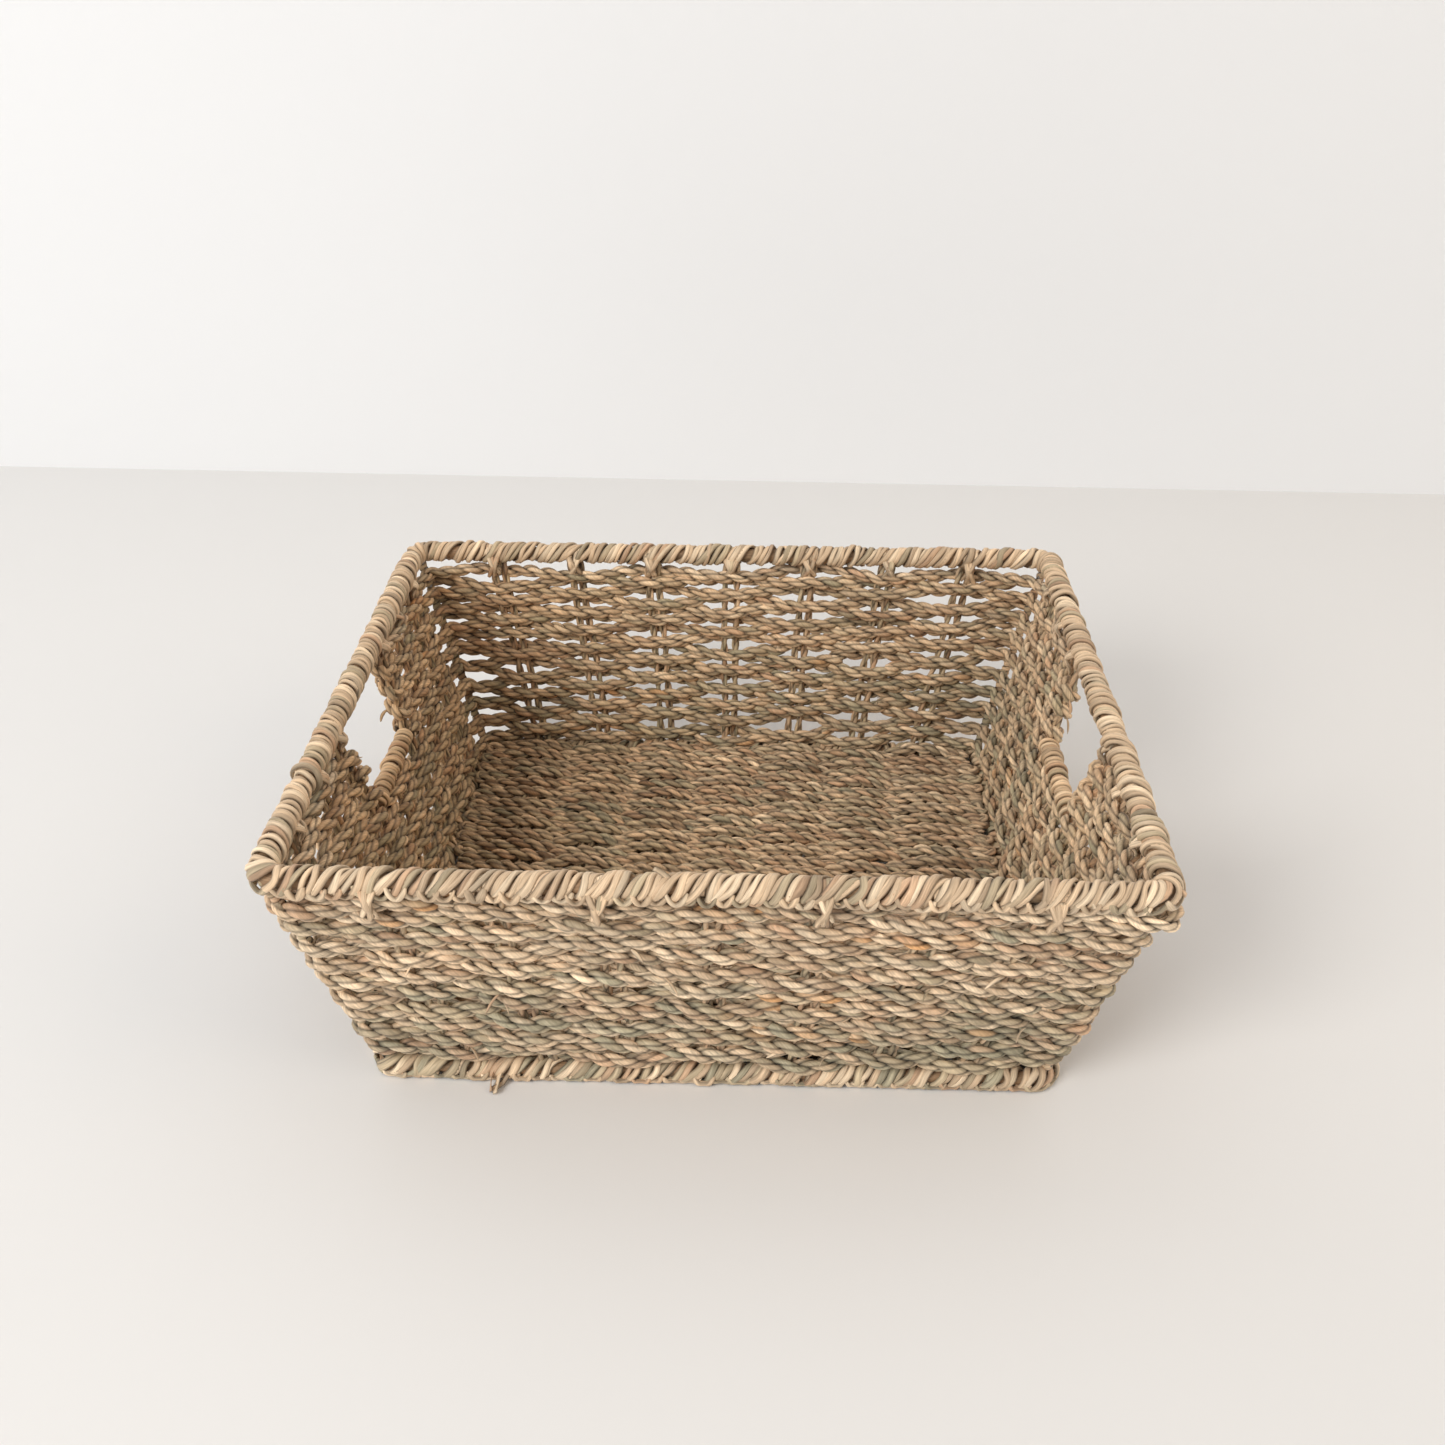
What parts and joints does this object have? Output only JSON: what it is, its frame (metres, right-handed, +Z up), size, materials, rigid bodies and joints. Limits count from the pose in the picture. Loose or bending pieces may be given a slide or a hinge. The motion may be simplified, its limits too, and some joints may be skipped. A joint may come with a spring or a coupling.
{
  "type": "seagrass storage basket",
  "caption": "Open rectangular tray basket of twisted seagrass rope woven on a wire frame, with flared walls and a hand hole in each short wall.",
  "frame": {"origin": "centre of the footprint, on the surface the basket stands on", "axes": "+X along the long walls, +Y from the front long wall to the back one, +Z up"},
  "size_m": [0.346, 0.292, 0.12],
  "materials": {
    "wall_rope": "dry matt twisted seagrass",
    "floor_rope": "dry matt twisted seagrass",
    "wrap": "flat seagrass blades wound round wire",
    "cord": "thin seagrass cord",
    "wire": "plain drawn steel"
  },
  "bodies": {
    "root": {"back_left_corner_wire": "wire", "back_right_corner_wire": "wire", "base_rim_wire": "wire", "base_rim_wrap": "wrap", "floor_strand_01": "floor_rope", "floor_strand_02": "floor_rope", "floor_strand_03": "floor_rope", "floor_strand_04": "floor_rope", "floor_strand_05": "floor_rope", "floor_strand_06": "floor_rope", "floor_strand_07": "floor_rope", "floor_strand_08": "floor_rope", "front_left_corner_wire": "wire", "front_right_corner_wire": "wire", "left_handle_wire": "wire", "left_handle_wrap": "wrap", "left_stake_1": "cord", "left_stake_2": "cord", "left_stake_3": "cord", "left_stake_4": "cord", "left_stake_5": "cord", "left_stake_6": "cord", "left_stake_7": "cord", "right_handle_wire": "wire", "right_handle_wrap": "wrap", "right_stake_1": "cord", "right_stake_2": "cord", "right_stake_3": "cord", "right_stake_4": "cord", "right_stake_5": "cord", "right_stake_6": "cord", "right_stake_7": "cord", "top_rim_wire": "wire", "top_rim_wrap": "wrap", "wall_course_01": "wall_rope", "wall_course_02": "wall_rope", "wall_course_03": "wall_rope", "wall_course_04": "wall_rope", "wall_course_05": "wall_rope", "wall_course_06": "wall_rope", "wall_course_07": "wall_rope", "wall_course_08": "wall_rope", "wall_course_09": "wall_rope", "wall_course_10": "wall_rope", "wall_course_11": "wall_rope", "wall_course_12": "wall_rope", "wall_course_13": "wall_rope", "wall_course_14": "wall_rope", "wall_course_15": "wall_rope", "wall_course_16": "wall_rope", "wall_course_17": "wall_rope", "wall_course_18": "wall_rope", "wall_course_19": "wall_rope", "warp_1": "cord", "warp_2": "cord", "warp_3": "cord", "warp_4": "cord", "warp_5": "cord", "warp_6": "cord", "warp_7": "cord"}
  },
  "joints": []
}
